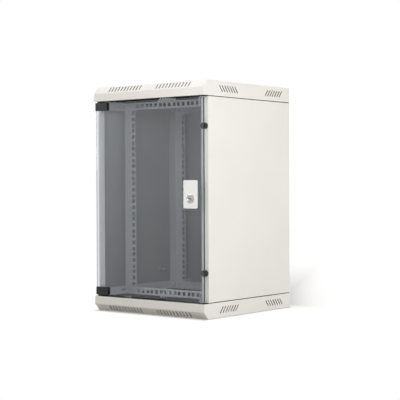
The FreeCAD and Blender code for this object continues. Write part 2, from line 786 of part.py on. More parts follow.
def lock_cylinder():
    """The turning core: key slot in front, square tail for the cam behind."""
    start = plate_front - lock_head_height + lock_core_recess
    core = cylinder_y(lock_core_radius, lock_x, start, cam_front - face_gap, lock_z)
    half = tail_side / 2
    tail = box(lock_x - half, lock_x + half, cam_front - face_gap, cam_back, lock_z - half, lock_z + half)
    slot = box(lock_x - key_slot_length / 2, lock_x + key_slot_length / 2, start - cut_overrun,
               start + key_slot_depth, lock_z - key_slot_width / 2, lock_z + key_slot_width / 2)
    thread = screw_hole_y(screw_m4[0] + thread_clearance, lock_x, cam_back - cam_screw_length - screw_end,
                          cam_back, lock_z)
    return fuse([core, tail]).cut(fuse([slot, thread]))


def lock_cam():
    """A flat tongue, upright when unlocked; turned a quarter it lies behind the side panel's flange."""
    half = cam_width / 2
    tongue = box(lock_x - half, lock_x + half, cam_front, cam_back, lock_z, lock_z + cam_length - half)
    root = placed(prism(half, cam_thickness, round_sides), Vector(lock_x, cam_front, lock_z), Vector(0, 1, 0))
    tip = root.translated(Vector(0, 0, cam_length - half))
    hole_half = tail_side / 2 + running_clearance
    hole = box(lock_x - hole_half, lock_x + hole_half, cam_front, cam_back,
               lock_z - hole_half, lock_z + hole_half)
    return fuse([tongue, root, tip]).cut(hole)


def cam_screw():
    piece = screw((screw_m4[0], cam_screw_head, screw_m4[2]), cam_screw_length)
    return placed(piece, Vector(lock_x, cam_back, lock_z), Vector(0, 1, 0))


# ---------------------------------------------------------------- assembly
def both_caps(name, upper):
    """A piece at the upper cap and its twin at the lower one."""
    return {"upper_" + name: upper, "lower_" + name: mirror_z(upper)}


def build():
    cap, cover = top_cap(), top_cable_cover()
    panel = right_side_panel()
    depth_bar = upper_right_depth_bar()
    parts = {
        "top_cap": cap, "bottom_cap": mirror_z(cap),
        "top_cable_cover": cover, "bottom_cable_cover": mirror_z(cover),
        "cable_cover_screws": cable_cover_screws(),
        "right_side_panel": panel, "left_side_panel": mirror_x(panel),
        "back_panel": back_panel(), "back_panel_screws": back_panel_screws(),
        "bar_screws": bar_screws(), "rail_bolts": rail_bolts(), "rail_nuts": rail_nuts(),
        "cap_screws": cap_screws(),
        "upper_door_bumper": door_bumper(1), "lower_door_bumper": door_bumper(-1),
        "spare_pivot_plugs": spare_pivot_plugs(),
        "earth_stud": earth_stud(), "earth_washer": earth_washer(), "earth_nuts": earth_nuts(),
        "door_glass": door_glass(),
        "lock_plate": lock_plate(), "lock_back_plate": lock_back_plate(), "lock_gaskets": lock_gaskets(),
        "lock_housing": lock_housing(), "lock_nut": lock_nut(),
        "lock_cylinder": lock_cylinder(), "lock_cam": lock_cam(), "cam_screw": cam_screw(),
    }
    for name, rear in (("front", False), ("rear", True)):
        rail, bar = right_rail(rear), top_bar(rear)
        parts[name + "_right_rail"] = rail
        parts[name + "_left_rail"] = mirror_x(rail)
        parts[name + "_top_bar"] = bar
        parts[name + "_bottom_bar"] = mirror_z(bar)
    parts.update(both_caps("right_depth_bar", depth_bar))
    parts.update(both_caps("left_depth_bar", mirror_x(depth_bar)))
    for name, shape in (("pivot_bush", upper_pivot_bush()), ("clamp_front", upper_clamp_front()),
                        ("clamp_back", upper_clamp_back()), ("clamp_pads", upper_clamp_pads()),
                        ("clamp_screw", upper_clamp_screw()), ("pivot_pin", upper_pivot_pin())):
        parts.update(both_caps(name, shape))
    return parts


os.makedirs("parts", exist_ok=True)
for node, shape in build().items():
    shape.exportStep("parts/" + node + ".step")
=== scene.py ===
import json
import math

import bmesh
import bpy
from mathutils import Matrix, Vector


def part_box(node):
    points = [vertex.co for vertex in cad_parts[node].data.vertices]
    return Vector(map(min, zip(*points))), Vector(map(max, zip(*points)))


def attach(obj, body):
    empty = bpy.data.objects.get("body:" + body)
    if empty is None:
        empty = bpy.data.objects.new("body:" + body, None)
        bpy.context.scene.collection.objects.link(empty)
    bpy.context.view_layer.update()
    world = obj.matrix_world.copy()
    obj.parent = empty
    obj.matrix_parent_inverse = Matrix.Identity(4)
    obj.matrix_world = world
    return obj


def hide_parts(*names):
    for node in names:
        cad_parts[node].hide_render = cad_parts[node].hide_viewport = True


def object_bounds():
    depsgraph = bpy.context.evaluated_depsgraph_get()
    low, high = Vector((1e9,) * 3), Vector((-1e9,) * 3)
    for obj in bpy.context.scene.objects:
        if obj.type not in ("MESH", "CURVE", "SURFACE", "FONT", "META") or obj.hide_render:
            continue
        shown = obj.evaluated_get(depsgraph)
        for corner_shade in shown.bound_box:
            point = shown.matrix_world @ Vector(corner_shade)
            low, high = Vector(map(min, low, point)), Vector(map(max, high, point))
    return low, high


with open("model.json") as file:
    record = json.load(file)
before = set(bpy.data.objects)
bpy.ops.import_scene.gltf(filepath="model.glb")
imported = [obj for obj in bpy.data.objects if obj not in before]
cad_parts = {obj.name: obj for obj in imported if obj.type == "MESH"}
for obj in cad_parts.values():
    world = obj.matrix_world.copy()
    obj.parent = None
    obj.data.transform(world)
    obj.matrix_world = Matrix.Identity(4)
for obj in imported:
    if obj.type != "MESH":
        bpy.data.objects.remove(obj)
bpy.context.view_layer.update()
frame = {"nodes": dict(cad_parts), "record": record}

NODES = frame["nodes"]
LOW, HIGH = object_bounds()
MIDDLE = (LOW + HIGH) / 2
MM = 0.001

# ------------------------------------------------------------------ camera
CAMERA_PLACE = Vector((1.8317, -2.2523, 0.3186))
CAMERA_YAW = math.radians(38.767)
CAMERA_PITCH = math.radians(-0.856)
CAMERA_ROLL = math.radians(-0.231)
CAMERA_LENS = 103.31
CAMERA_SENSOR = 36.0
CAMERA_CLIP = (0.05, 100.0)


def add_camera():
    data = bpy.data.cameras.new("camera")
    data.lens = CAMERA_LENS
    data.sensor_width = CAMERA_SENSOR
    data.clip_start, data.clip_end = CAMERA_CLIP
    camera = bpy.data.objects.new("camera", data)
    turn = Matrix.Rotation(CAMERA_YAW, 4, "Z") @ Matrix.Rotation(math.pi / 2 + CAMERA_PITCH, 4, "X")
    camera.matrix_world = Matrix.Translation(CAMERA_PLACE) @ turn @ Matrix.Rotation(CAMERA_ROLL, 4, "Z")
    bpy.context.scene.collection.objects.link(camera)
    bpy.context.scene.camera = camera


# ------------------------------------------------------------------ node helpers
NOISE_SPAN = (0.3, 0.7)         # most of a noise lies between these
FACING_SPAN = (-2 * MM, 0.0)    # a face's distance from the centre along its normal: inner, outer
LOW_SHADE_SPAN = (0.04, 0.5)         # heights over which the painted shade of inner faces lightens from its low tone

# Where the caps' painted shade changes its tone, measured inwards from the object's box.
SIDE_FOLD = (50 * MM, 15 * MM)  # from none to all of the painted corner shade at the sides,
FRONT_FOLD = (60 * MM, 20 * MM)     # and at the front
FRONT_VENTS = 25 * MM           # the front vents lie this close to the front,
CORNER_CLEAR = 12 * MM          # and end this far from the sides
SIDE_VENTS = (25 * MM, 5 * MM)  # the side vents keep this far from the front and the back,
VENT_BAND = (7 * MM, 29 * MM)   # and lie between these from the top or the bottom
SIDE_SKIN = 1.4 * MM            # a little more than the sheet
SIDEWAYS = 0.5                  # a face turned sideways has more than this of its normal along X


def showing_rays(tree):
    """1 for rays that show a surface to the camera: straight, mirrored or through glass."""
    path = tree.nodes.new("ShaderNodeLightPath").outputs
    seen = path["Is Camera Ray"]
    for other in ("Is Glossy Ray", "Is Transmission Ray"):
        either = tree.nodes.new("ShaderNodeMath")
        either.operation = "MAXIMUM"
        tree.links.new(seen, either.inputs[0])
        tree.links.new(path[other], either.inputs[1])
        seen = either.outputs[0]
    return seen


def end_as_mix(tree, output, factor, first, second):
    """Ends a material or a world as a mix of two shaders."""
    mix = tree.nodes.new("ShaderNodeMixShader")
    for source, socket in zip((factor, first, second), mix.inputs):
        tree.links.new(source, socket)
    tree.links.new(mix.outputs["Shader"], tree.nodes[output].inputs["Surface"])


class Shade:
    """Short calls for building one material's nodes."""

    def __init__(self, name):
        self.material = bpy.data.materials.new(name)
        self.material.use_nodes = True
        self.tree = self.material.node_tree
        self.shader = self.tree.nodes["Principled BSDF"]
        self.place = self.node("ShaderNodeTexCoord").outputs["Object"]

    def node(self, kind, **settings):
        made = self.tree.nodes.new(kind)
        for key, value in settings.items():
            setattr(made, key, value)
        return made

    def link(self, source, target):
        self.tree.links.new(source, target)

    def noise(self, scale, detail, stretch=(1, 1, 1)):
        """Noise fixed to the object; its scale counts the features in a metre."""
        mapping = self.node("ShaderNodeMapping")
        mapping.inputs["Scale"].default_value = stretch
        self.link(self.place, mapping.inputs["Vector"])
        noise = self.node("ShaderNodeTexNoise")
        noise.inputs["Scale"].default_value = scale
        noise.inputs["Detail"].default_value = detail
        self.link(mapping.outputs["Vector"], noise.inputs["Vector"])
        return noise.outputs["Fac"]

    def remap(self, source, low, high, start=0.0, end=1.0):
        """From low to high while the source goes from start to end."""
        made = self.node("ShaderNodeMapRange")
        made.inputs["From Min"].default_value = start
        made.inputs["From Max"].default_value = end
        made.inputs["To Min"].default_value = low
        made.inputs["To Max"].default_value = high
        self.link(source, made.inputs["Value"])
        return made.outputs["Result"]

    def ramp(self, source, stops):
        """Colours at their positions on a source, blended in between."""
        made = self.node("ShaderNodeValToRGB")
        elements = made.color_ramp.elements
        while len(elements) < len(stops):
            elements.new(0.5)
        for element, (position, colour) in zip(elements, stops):
            element.position = position
            element.color = (*colour, 1.0)
        self.link(source, made.inputs["Fac"])
        return made.outputs["Color"]

    def blend(self, factor, first, second):
        """The first colour at a factor of 0, the second at 1."""
        made = self.node("ShaderNodeMix", data_type="RGBA")
        # The node has a factor, two colours and a colour result at these places in its lists.
        for key, value in ((0, factor), (6, first), (7, second)):
            socket = made.inputs[key]
            if isinstance(value, bpy.types.NodeSocket):
                self.link(value, socket)
            elif key == 0:
                socket.default_value = value
            else:
                socket.default_value = (*value, 1.0)
        return made.outputs[2]

    def maths(self, operation, first, second=0.0):
        made = self.node("ShaderNodeMath", operation=operation)
        for socket, value in zip(made.inputs, (first, second)):
            if isinstance(value, bpy.types.NodeSocket):
                self.link(value, socket)
            else:
                socket.default_value = value
        return made.outputs[0]

    def vectors(self, operation, first, second):
        made = self.node("ShaderNodeVectorMath", operation=operation)
        for socket, value in zip(made.inputs, (first, second)):
            if isinstance(value, bpy.types.NodeSocket):
                self.link(value, socket)
            else:
                socket.default_value = value
        return made

    def joined(self, operation, first, *others):
        """One operation over any number of values, from the left."""
        for other in others:
            first = self.maths(operation, first, other)
        return first

    def parts(self, vector=None):
        """X, Y and Z of a vector; of the place on the object, if none is given."""
        made = self.node("ShaderNodeSeparateXYZ")
        self.link(self.place if vector is None else vector, made.inputs["Vector"])
        return made.outputs

    def normal(self):
        return self.node("ShaderNodeNewGeometry").outputs["True Normal"]

    def off_footprint(self):
        """The larger of the distances past the cabinet's footprint along X and along Y."""
        spot = self.parts()
        side = self.maths("SUBTRACT", self.maths("ABSOLUTE", spot["X"]), HIGH.x)
        front = self.maths("SUBTRACT", self.maths("ABSOLUTE", spot["Y"]), HIGH.y)
        return self.maths("MAXIMUM", side, front)

    def fold_shade_mask(self):
        """0 in the middle of the cabinet, 1 close to its front edge and its two sides, where the folds'
        painted shade lies.
        """
        spot = self.parts()
        across = self.maths("ABSOLUTE", spot["X"])
        side = self.remap(across, 0.0, 1.0, HIGH.x - SIDE_FOLD[0], HIGH.x - SIDE_FOLD[1])
        front = self.remap(spot["Y"], 1.0, 0.0, LOW.y + FRONT_FOLD[1], LOW.y + FRONT_FOLD[0])
        return self.maths("MAXIMUM", side, front)

    def vent_cut_shade_mask(self):
        """1 on the cut edges of the vent slots in the caps, which take painted shade, 0 elsewhere."""
        spot, facing = self.parts(), self.parts(self.normal())
        across = self.maths("ABSOLUTE", spot["X"])
        sideways = self.maths("ABSOLUTE", facing["X"])
        level = self.maths("ABSOLUTE", self.maths("SUBTRACT", spot["Z"], MIDDLE.z))
        half_height = HIGH.z - MIDDLE.z
        front = self.joined("MULTIPLY", self.maths("LESS_THAN", across, HIGH.x - CORNER_CLEAR),
                            self.maths("LESS_THAN", spot["Y"], LOW.y + FRONT_VENTS),
                            self.maths("GREATER_THAN", sideways, SIDEWAYS))
        side = self.joined("MULTIPLY", self.maths("GREATER_THAN", across, HIGH.x - SIDE_SKIN),
                           self.maths("GREATER_THAN", spot["Y"], LOW.y + SIDE_VENTS[0]),
                           self.maths("LESS_THAN", spot["Y"], HIGH.y - SIDE_VENTS[1]),
                           self.maths("LESS_THAN", sideways, SIDEWAYS),
                           self.maths("LESS_THAN", level, half_height - VENT_BAND[0]),
                           self.maths("GREATER_THAN", level, half_height - VENT_BAND[1]))
        return self.maths("MAXIMUM", front, side)

    def show_mix(self, factor, second):
        """Ends the material as a mix of its own shader and a second one."""
        end_as_mix(self.tree, "Material Output", factor, self.shader.outputs["BSDF"], second)

    def bump(self, heights):
        """Bumps one after the other; each is a height with its distance in metres and its strength."""
        normal = None
        for height, distance, strength in heights:
            made = self.node("ShaderNodeBump")
            made.inputs["Distance"].default_value = distance
            made.inputs["Strength"].default_value = strength
            self.link(height, made.inputs["Height"])
            if normal is not None:
                self.link(normal, made.inputs["Normal"])
            normal = made.outputs["Normal"]
        self.link(normal, self.shader.inputs["Normal"])

    def set(self, **values):
        """Sets or links the shader's inputs by name, with _ for a space."""
        for key, value in values.items():
            socket = self.shader.inputs[key.replace("_", " ")]
            if isinstance(value, bpy.types.NodeSocket):
                self.link(value, socket)
            elif isinstance(value, tuple):
                socket.default_value = (*value, 1.0)
            else:
                socket.default_value = value


# ------------------------------------------------------------------ materials
def powder_coat(name, light, dark, gloss=0.42, grain=0.5, inside_shade=None, centre=None, corner_shade=None,
                low_shade=None):
    """Fine textured powder coat: orange peel, fine grain and a faint cloudiness of the tone.

    Faces that look towards the centre of the folded shell take the inside tone: painted shade.
    It turns to the darker corner tone, painted shade too, in the narrow fold behind the vents, and the
    vents' cut edges take that painted shade as well. Or, with a low tone, the painted shade darkens
    towards the floor.
    """
    s = Shade(name)
    cloud = s.noise(scale=5.0, detail=2.0)
    speckle = s.noise(scale=1500.0, detail=1.0)
    tone = s.ramp(cloud, [(0.3, dark), (0.7, light)])
    tone = s.blend(s.remap(speckle, 0.0, 0.16, *NOISE_SPAN), tone, dark)
    # Painted shade: inner faces, folds and vent cut edges darker, and darker towards the floor.
    if inside_shade:
        outward = s.vectors("SUBTRACT", s.place, centre).outputs["Vector"]
        facing = s.vectors("DOT_PRODUCT", outward, s.normal()).outputs["Value"]
        if corner_shade:
            inside_shade = s.blend(s.fold_shade_mask(), inside_shade, corner_shade)
            tone = s.blend(s.vent_cut_shade_mask(), tone, corner_shade)
        if low_shade:
            inside_shade = s.blend(s.remap(s.parts()["Z"], 0.0, 1.0, *LOW_SHADE_SPAN), low_shade, inside_shade)
        tone = s.blend(s.remap(facing, 1.0, 0.0, *FACING_SPAN), tone, inside_shade)
    peel = s.noise(scale=420.0, detail=2.0)
    s.set(Base_Color=tone, Roughness=s.remap(peel, gloss - 0.05, gloss + 0.09, *NOISE_SPAN), IOR=1.47)
    s.bump([(peel, 0.0002, 0.16 * grain), (speckle, 0.00006, 0.35 * grain)])
    return s.material


def moulded_plastic(name, tone, worn):
    """Spark-eroded black plastic with slightly greyer patches."""
    s = Shade(name)
    grain = s.noise(scale=2200.0, detail=2.0)
    patch = s.noise(scale=160.0, detail=3.0)
    s.set(Base_Color=s.ramp(patch, [(0.35, tone), (0.75, worn)]),
          Roughness=s.remap(patch, 0.37, 0.55, *NOISE_SPAN), IOR=1.38)
    s.bump([(grain, 0.00005, 0.5)])
    return s.material


def soft_rubber(name, tone, dusty):
    """Matt rubber with a little dust."""
    s = Shade(name)
    grain = s.noise(scale=1300.0, detail=3.0)
    dust = s.noise(scale=240.0, detail=4.0)
    s.set(Base_Color=s.ramp(dust, [(0.4, tone), (0.8, dusty)]),
          Roughness=s.remap(dust, 0.62, 0.82, *NOISE_SPAN))
    s.bump([(grain, 0.00005, 0.5)])
    return s.material


def plated_metal(name, light, dark, rough, brushed=(1, 1, 1), sunk_shade=None):
    """Zinc or nickel plating: fine scratches and a patchy sheen, with painted shade where it is sunk
    behind its face.
    """
    s = Shade(name)
    patch = s.noise(scale=210.0, detail=4.0)
    scratch = s.noise(scale=900.0, detail=2.0, stretch=brushed)
    tone = s.ramp(patch, [(0.3, dark), (0.7, light)])
    # Painted shade on what lies behind the face.
    if sunk_shade:
        tone = s.blend(s.remap(s.parts()["Y"], 0.0, 1.0, *sunk_shade), tone, RECESS_SHADE_TONE)
    s.set(Base_Color=tone, Metallic=1.0, Roughness=s.remap(scratch, *rough, *NOISE_SPAN))
    s.bump([(scratch, 0.00004, 0.3)])
    return s.material


def pane_glass(name, tint, thin_tint, clear_tint):
    """Tinted safety glass; lamp light and bounced light pass straight through."""
    s = Shade(name)
    smear = s.noise(scale=14.0, detail=3.0)
    s.set(Base_Color=s.ramp(smear, [(0.3, tint), (0.7, thin_tint)]),
          Roughness=s.remap(smear, 0.0, 0.015, 0.4, 0.8), Transmission_Weight=1.0, IOR=1.5)
    clear = s.node("ShaderNodeBsdfTransparent")
    clear.inputs["Color"].default_value = (*clear_tint, 1.0)
    path = s.node("ShaderNodeLightPath").outputs
    s.show_mix(s.maths("MAXIMUM", path["Is Shadow Ray"], path["Is Diffuse Ray"]), clear.outputs["BSDF"])
    return s.material


PAINT_LIGHT, PAINT_DARK = (0.855, 0.835, 0.79), (0.815, 0.795, 0.75)
# Painted shade: the tone of inner faces, and the darker one in the folds behind the vents and their cut
# edges.
INNER_SHADE_TONE, CORNER_SHADE_TONE = (0.50, 0.50, 0.49), (0.05, 0.05, 0.05)
# Painted shade on the lock's chrome behind the face of its core: in the keyway and the bore.
RECESS_SHADE_TONE = (0.03, 0.03, 0.03)
CORE_SET_BACK = 0.15 * MM       # the core's face stands this far behind its CAD node's
RECESS_SHADE_SPAN = (CORE_SET_BACK, 0.5 * MM)     # behind that node's face, the painted shade grows from none to all between these
CAP_CENTRE = 5 * MM             # the caps' inner faces look at a point this far past the open edge
LOCK_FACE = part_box("lock_cylinder")[0].y

# The inside, corner and low tones of these paints are painted shade on inner faces, folds and cut edges.
CABINET_PAINT = powder_coat("cabinet_powder_coat_and_painted_shade", PAINT_LIGHT, PAINT_DARK,
                            inside_shade=(0.76, 0.76, 0.75), low_shade=(0.43, 0.43, 0.42),
                            centre=tuple(MIDDLE))
TOP_PAINT = powder_coat("top_cap_powder_coat_and_painted_shade", PAINT_LIGHT, PAINT_DARK,
                        inside_shade=INNER_SHADE_TONE, corner_shade=CORNER_SHADE_TONE,
                        centre=(0.0, 0.0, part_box("top_cap")[0].z - CAP_CENTRE))
BOTTOM_PAINT = powder_coat("bottom_cap_powder_coat_and_painted_shade", PAINT_LIGHT, PAINT_DARK,
                           inside_shade=INNER_SHADE_TONE, corner_shade=CORNER_SHADE_TONE,
                           centre=(0.0, 0.0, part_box("bottom_cap")[1].z + CAP_CENTRE))
COVER_PAINT = powder_coat("cover_powder_coat_and_painted_shade", (0.82, 0.81, 0.78), (0.78, 0.77, 0.74), 0.46,
                          inside_shade=INNER_SHADE_TONE, centre=tuple(MIDDLE))
FRAME_PAINT = powder_coat("frame_powder_coat", (0.80, 0.80, 0.79), (0.74, 0.74, 0.73), 0.36, 0.35)
PLATE_PAINT = powder_coat("lock_plate_paint", (0.94, 0.94, 0.92), (0.91, 0.91, 0.89), 0.35, 0.25)
BLACK_PLASTIC = moulded_plastic("black_moulded_plastic", (0.009, 0.009, 0.0095), (0.016, 0.016, 0.0165))
BLACK_RUBBER = soft_rubber("black_rubber", (0.008, 0.008, 0.0085), (0.018, 0.018, 0.019))
CHROME = plated_metal("satin_nickel_and_painted_recess_shade", (0.54, 0.54, 0.53), (0.44, 0.44, 0.43), (0.14, 0.26),
                      sunk_shade=(LOCK_FACE + RECESS_SHADE_SPAN[0], LOCK_FACE + RECESS_SHADE_SPAN[1]))
ZINC = plated_metal("zinc_plating", (0.72, 0.73, 0.74), (0.58, 0.60, 0.61), (0.24, 0.42), (1, 1, 8))
GLASS = pane_glass("tinted_pane_glass", (0.67, 0.70, 0.74), (0.69, 0.72, 0.76), (0.82, 0.835, 0.855))

FINISH = {"cabinet_paint": CABINET_PAINT, "grey_paint": COVER_PAINT, "frame_paint": FRAME_PAINT,
          "plate_paint": PLATE_PAINT, "door_glass": GLASS, "black_plastic": BLACK_PLASTIC,
          "black_rubber": BLACK_RUBBER, "lock_chrome": CHROME, "zinc_steel": ZINC}
OWN_FINISH = {"top_cap": TOP_PAINT, "bottom_cap": BOTTOM_PAINT}


def dress_nodes():
    """Every CAD node takes the material of its slot in the record, and the caps their own one."""
    for part in frame["record"]["subparts"]:
        node = NODES[part["node"]]
        finish = OWN_FINISH.get(part["node"], FINISH[part["material_slot"]])
        if not node.material_slots:
            node.data.materials.append(finish)
        for holder in node.material_slots:
            holder.material = finish


# ------------------------------------------------------------------ mesh helpers
SHEET = 1.2 * MM                # folded sheet of the cabinet
SEAM = 1.8 * MM                 # gap left between a cap and a side panel
FOLD = 0.8 * MM                 # the eased outside of its folds
SHARP = math.radians(32)        # an edge that turns more than this is shaded as an edge
EASED_ANGLE = math.radians(30)  # and one that turns more than this is eased
SAME_PLACE = 1e-6               # corners closer than this are one

# Turned heads: shares of the head's radius and height, from the top down.
PAN_HEAD = ((0.6, 1.0), (0.82, 0.9), (0.95, 0.68), (1.0, 0.4), (1.0, 0.0))
STUD_HEAD = ((0.7, 1.0), (0.92, 0.8), (1.0, 0.5), (1.0, 0.0))
CROSS_ARM = (0.5, 0.11)         # reach and half width of a recess's arm, as shares of the radius
CROSS_DEPTH = 0.6               # its depth, as a share of the head's height,
CROSS_TAPER = 0.55              # and the size of its floor, as a share of its mouth


def side_turn(direction):
    """The turn that brings +Z onto a direction."""
    return Vector(direction).to_track_quat("Z", "Y").to_matrix().to_4x4()


def new_piece(name, bm, body, slot, nodes=(), ease=0.0, segments=2):
    """One finished piece from its mesh: eased edges, the material of its slot, its body, and the CAD nodes
    it hides.
    """
    bmesh.ops.recalc_face_normals(bm, faces=bm.faces)
    mesh = bpy.data.meshes.new(name)
    bm.to_mesh(mesh)
    bm.free()
    mesh.materials.append(FINISH[slot])
    mesh.shade_smooth()
    mesh.set_sharp_from_angle(angle=SHARP)
    piece = bpy.data.objects.new(name, mesh)
    bpy.context.scene.collection.objects.link(piece)
    if ease:
        add_ease(piece, ease, segments)
    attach(piece, body)
    if nodes:
        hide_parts(*nodes)


def add_ease(piece, width, segments=2):
    """Eased edges with even shading."""
    bevel = piece.modifiers.new("ease", "BEVEL")
    bevel.width = width
    bevel.segments = segments
    bevel.limit_method = "ANGLE"
    bevel.angle_limit = EASED_ANGLE
    bevel.use_clamp_overlap = True
    even = piece.modifiers.new("even", "WEIGHTED_NORMAL")
    even.keep_sharp = False


def add_box(bm, low, high):
    """A box between two corners, as one part of a piece's mesh."""
    made = bmesh.ops.create_cube(bm, size=1.0)["verts"]
    low, high = Vector(low), Vector(high)
    for vert in made:
        vert.co = Vector((low[i] if vert.co[i] < 0 else high[i] for i in range(3)))


def ring(bm, place, radius, height, sides):
    """A circle of new corners at a height along the place's own axis."""
    corners = []
    for i in range(sides):
        a = 2 * math.pi * (i + 0.5) / sides
        corners.append(bm.verts.new(place @ Vector((radius * math.cos(a), radius * math.sin(a), height))))
    return corners


def skin(bm, first, second):
    """Quads between two closed rows of as many corners."""
    for i in range(len(first)):
        j = (i + 1) % len(first)
        bm.faces.new((first[i], first[j], second[j], second[i]))


def lathe(bm, place, profile, sides, closed=False):
    """Skins circles of (radius, height); returns the first and the last circle."""
    rings = [ring(bm, place, radius, height, sides) for radius, height in profile]
    pairs = list(zip(rings, rings[1:])) + ([(rings[-1], rings[0])] if closed else [])
    for upper, lower in pairs:
        skin(bm, upper, lower)
    return rings[0], rings[-1]


def sink(bm, place, rim, outline, top, depth, taper):
    """Fills a flat rim round an outline and sinks the outline as a tapering recess."""
    upper = [bm.verts.new(place @ Vector((x, y, top))) for x, y in outline]
    lower = [bm.verts.new(place @ Vector((x * taper, y * taper, top - depth))) for x, y in outline]
    edges = []
    for loop in (rim, upper):
        for first, second in zip(loop, loop[1:] + loop[:1]):
            edges.append(bm.edges.get((first, second)) or bm.edges.new((first, second)))
    bmesh.ops.triangle_fill(bm, use_beauty=True, edges=edges)
    skin(bm, upper, lower)
    bm.faces.new(lower)


def cross_outline(reach, half):
    """The corners of a cross with four arms."""
    arm = [(reach, -half), (reach, half), (half, half)]
    turned = []
    for quarter in range(4):
        c, s = round(math.cos(quarter * math.pi / 2)), round(math.sin(quarter * math.pi / 2))
        turned += [(x * c - y * s, x * s + y * c) for x, y in arm]
    return turned


def slot_outline(half_length, half_width, steps=6):
    """A slot along Y with round ends."""
    points = []
    for end in (1, -1):
        for i in range(steps + 1):
            a = math.pi * i / steps
            points.append((half_width * math.cos(a) * end,
                           end * (half_length - half_width) + half_width * math.sin(a) * end))
    return points


def thread(radius, start, length, pitch=1.0 * MM, depth=0.35 * MM):
    """The zigzag profile of a thread that runs down from a start height, with a chamfered tip."""
    turns = max(1, int((length - pitch) / pitch))
    profile = []
    for i in range(turns):
        profile += [(radius, start - i * pitch), (radius - depth, start - (i + 0.5) * pitch)]
    return profile + [(radius, start - turns * pitch), (radius - 2 * depth, start - length)]


def solids_of(name):
    """The corners of each separate solid of a CAD node."""
    bm = bmesh.new()
    bm.from_mesh(NODES[name].data)
    bmesh.ops.remove_doubles(bm, verts=bm.verts, dist=SAME_PLACE)
    found = []
    for start in bm.verts:
        if start.tag:
            continue
        start.tag = True
        group = [start]
        for vert in group:
            for edge in vert.link_edges:
                other = edge.other_vert(vert)
                if not other.tag:
                    other.tag = True
                    group.append(other)
        found.append([vert.co.copy() for vert in group])
    bm.free()
    return found


class Turned:
    """Axis and sizes of a turned solid: a head at one end, a shank towards the other."""
    END_SKIN = 0.05 * MM        # corners this close to an end belong to it
    SHANK_SLACK = 1.02          # corners within this share of the shank's radius are on the shank
    LEAST_HEAD = 0.3 * MM       # and those closer than this to the head's top aren't counted

    def __init__(self, points):
        low = Vector(min(p[i] for p in points) for i in range(3))
        high = Vector(max(p[i] for p in points) for i in range(3))
        size = high - low
        axis = min(range(3), key=lambda i: abs(size[i - 2] - size[i - 1]))
        middle = (low + high) / 2

        def reach(points_there):
            return max((Vector((p - middle)[i] if i != axis else 0.0 for i in range(3)).length
                        for p in points_there), default=0.0)

        top = [p for p in points if p[axis] > high[axis] - self.END_SKIN]
        bottom = [p for p in points if p[axis] < low[axis] + self.END_SKIN]
        self.sign = 1 if reach(top) > reach(bottom) else -1
        ends = (high, low) if self.sign > 0 else (low, high)
        self.length = size[axis]
        self.head_radius = reach(points)
        self.shank_radius = reach(bottom if self.sign > 0 else top)
        slim = [abs(p[axis] - ends[0][axis]) for p in points
                if reach([p]) < self.shank_radius * self.SHANK_SLACK]
        shank = [far for far in slim if far > self.LEAST_HEAD]
        self.head_height = min(shank) if shank else self.length / 2
        seat = middle.copy()
        seat[axis] = ends[0][axis] - self.sign * self.head_height
        direction = [0.0, 0.0, 0.0]
        direction[axis] = self.sign
        self.place = Matrix.Translation(seat) @ side_turn(direction)


def headed(bm, turned, head, sides):
    """A head on a threaded shank, open at both ends."""
    wide, tall = turned.head_radius, turned.head_height
    profile = [(radius * wide, height * tall) for radius, height in head]
    profile += thread(turned.shank_radius, 0.0, turned.length - tall)
    return lathe(bm, turned.place, profile, sides)


def pan_head(bm, turned, sides=20):
    """A pan head with a cross recess on a threaded shank."""
    rim, tip = headed(bm, turned, PAN_HEAD, sides)
    bm.faces.new(tip)
    wide, tall = turned.head_radius, turned.head_height
    outline = cross_outline(CROSS_ARM[0] * wide, CROSS_ARM[1] * wide)
    sink(bm, turned.place, rim, outline, tall, CROSS_DEPTH * tall, CROSS_TAPER)


# ------------------------------------------------------------------ pieces
CABINET_SCREWS = ("cap_screws", "bar_screws", "back_panel_screws", "cable_cover_screws", "rail_bolts")
STRIP, STRIP_INSET = 5 * MM, 0.9 * MM       # the black strip in a seam, standing in for its shade, and how far it stands back
LIP_DEPTH, LIP_SHEET = 4.5 * MM, 1.5 * MM   # the rails' folded inner edges
LIP_STEP, LIP_CLEAR = 0.1 * MM, 0.5 * MM    # behind the rail's face, and short of the cross bars
COVER_TALLER, COVER_LONGER = 0.5 * MM, 1.5 * MM     # what the clamps' covers add to the clamps,
COVER_CORNER, COVER_EASE = 1.6 * MM, 0.7 * MM       # their corners' radius and their eased edges
BARREL_STEP = 1.6 * MM          # the barrel is this much slimmer than the ring; its thread starts this low
CORE_STEP = 1.5 * MM            # the core's tail is this much slimmer than its face
KEYWAY, KEYWAY_DEPTH = (4.2 * MM, 1.4 * MM), 7 * MM     # half its length and width, and its depth
KEYWAY_TAPER = 0.92             # the size of its floor, as a share of its mouth
BORE_CLEAR = 0.15 * MM          # between the ring's bore and the core
EASED_NODES = (                 # width of the eased edges, and the CAD nodes that have them
    (0.35 * MM, ("top_cap", "bottom_cap", "top_cable_cover", "bottom_cable_cover")),
    (0.5 * MM, ("upper_clamp_back", "lower_clamp_back", "upper_door_bumper", "lower_door_bumper",
                "lock_plate", "lock_back_plate", "lock_nut",
                "upper_pivot_bush", "lower_pivot_bush", "spare_pivot_plugs")),
    (0.3 * MM, ("rail_nuts", "earth_nuts", "earth_washer", "lock_cam")),
)


